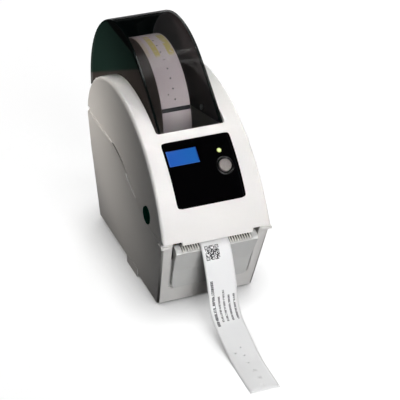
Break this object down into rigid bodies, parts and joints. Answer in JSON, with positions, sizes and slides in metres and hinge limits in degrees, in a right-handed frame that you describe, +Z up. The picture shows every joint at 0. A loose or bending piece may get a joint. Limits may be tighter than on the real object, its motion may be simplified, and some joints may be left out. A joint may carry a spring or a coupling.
{
  "type": "label printer",
  "caption": "Desktop thermal band printer with a hinged white cover, smoked media hood, control panel, side release tabs and a printed band leaving a ribbed slot.",
  "frame": {"origin": "on the table under the middle of the base's footprint", "axes": "+Z up, -Y out of the front with the slot and the panel, +X to the machine's right seen from behind the front"},
  "size_m": [0.1096, 0.3836, 0.2198],
  "materials": {
    "white_plastic": "fine satin moulded",
    "grey_plastic": "fine satin moulded",
    "smoked_plastic": "polished smoked clear",
    "black_gloss": "polished",
    "dark_plastic": "satin",
    "rubber": "matte",
    "steel": "plated",
    "alloy": "plain",
    "brass": "plain",
    "board": "solder mask",
    "paper": "coated",
    "cardboard": "plain",
    "green_plastic": "satin",
    "display": "backlit",
    "lamp": "clear",
    "button_grey": "satin",
    "acetal": "satin",
    "blue_plastic": "satin"
  },
  "bodies": {
    "base": {"base_housing": "white_plastic", "front_panel": "grey_plastic", "rubber_feet": "rubber", "hinge_pins": "steel", "mechanism_frame": "steel", "platen_bushings": "brass", "stepper_motor": "steel", "idler_post": "steel", "media_tray": "dark_plastic", "main_board": "board", "board_screws": "steel", "io_plate": "steel", "dc_jack": "dark_plastic", "usb_port": "steel", "serial_port": "steel", "switch_frame": "dark_plastic", "left_holder": "dark_plastic", "right_holder": "dark_plastic", "guide_rail": "steel", "mark_sensor": "dark_plastic", "latch_strikes": "steel", "frame_screws": "steel", "printed_band": "paper"},
    "cover": {"top_cover": "white_plastic", "media_hood": "smoked_plastic", "hood_screws": "steel", "control_panel": "black_gloss", "lcd_display": "display", "status_led": "lamp", "button_collar": "dark_plastic", "control_board": "board", "button_switch": "dark_plastic", "print_head": "alloy", "head_bracket": "steel", "head_springs": "steel", "tear_bar": "steel"},
    "left_release": {"left_release": "green_plastic"},
    "right_release": {"right_release": "green_plastic"},
    "feed_button": {"feed_button": "button_grey"},
    "power_rocker": {"power_rocker": "dark_plastic"},
    "platen": {"platen_shaft": "steel", "platen_roller": "rubber", "platen_gear": "acetal"},
    "idler": {"idler_gear": "acetal"},
    "motor_shaft": {"motor_pinion": "brass"},
    "roll": {"roll_spindle": "acetal", "roll_hub": "dark_plastic", "roll_core": "cardboard", "media_roll": "paper"},
    "left_guide": {"left_guide": "blue_plastic"},
    "right_guide": {"right_guide": "blue_plastic"},
    "guide_pinion": {"guide_pinion": "acetal"}
  },
  "joints": [
    {"name": "cover_hinge", "type": "hinge", "parent": "base", "child": "cover", "pos_m": [0, 0.09399, 0.113], "axis": [-1, 0, 0], "range_deg": [0, 80]},
    {"name": "left_release_press", "type": "slide", "parent": "cover", "child": "left_release", "axis": [1, 0, 0], "range_m": [0, 0.003], "stiffness_N_per_m": 400},
    {"name": "right_release_press", "type": "slide", "parent": "cover", "child": "right_release", "axis": [-1, 0, 0], "range_m": [0, 0.003], "stiffness_N_per_m": 400},
    {"name": "feed_button_press", "type": "slide", "parent": "cover", "child": "feed_button", "axis": [0, 0.6936, -0.7203], "range_m": [0, 0.0012], "stiffness_N_per_m": 600},
    {"name": "power_rock", "type": "hinge", "parent": "base", "child": "power_rocker", "pos_m": [0.0335, 0.0795, 0.024], "axis": [1, 0, 0], "range_deg": [0, 16]},
    {"name": "roll_spin", "type": "hinge", "parent": "base", "child": "roll", "pos_m": [0, 0.0473, 0.1411], "axis": [1, 0, 0], "continuous": true},
    {"name": "platen_spin", "type": "hinge", "parent": "base", "child": "platen", "pos_m": [0, -0.098, 0.0708], "axis": [1, 0, 0], "continuous": true},
    {"name": "idler_spin", "type": "hinge", "parent": "base", "child": "idler", "pos_m": [0.039, -0.08452, 0.05949], "axis": [1, 0, 0], "continuous": true},
    {"name": "motor_spin", "type": "hinge", "parent": "base", "child": "motor_shaft", "pos_m": [0.039, -0.07165, 0.04869], "axis": [1, 0, 0], "continuous": true},
    {"name": "left_guide_slide", "type": "slide", "parent": "base", "child": "left_guide", "axis": [-1, 0, 0], "range_m": [0, 0.011]},
    {"name": "right_guide_slide", "type": "slide", "parent": "base", "child": "right_guide", "axis": [1, 0, 0], "range_m": [0, 0.011]},
    {"name": "guide_pinion_spin", "type": "hinge", "parent": "base", "child": "guide_pinion", "pos_m": [-0.0024, -0.05, 0.0713], "axis": [0, 0, 1], "range_deg": [-160, 2]}
  ],
  "couplings": [
    {"joint": "platen_spin", "follows": "roll_spin", "ratio": -9.3},
    {"joint": "idler_spin", "follows": "roll_spin", "ratio": 4.34},
    {"joint": "motor_spin", "follows": "roll_spin", "ratio": -10.85},
    {"joint": "right_guide_slide", "follows": "left_guide_slide", "ratio": 1},
    {"joint": "guide_pinion_spin", "follows": "left_guide_slide", "rad_per_m": -250}
  ]
}
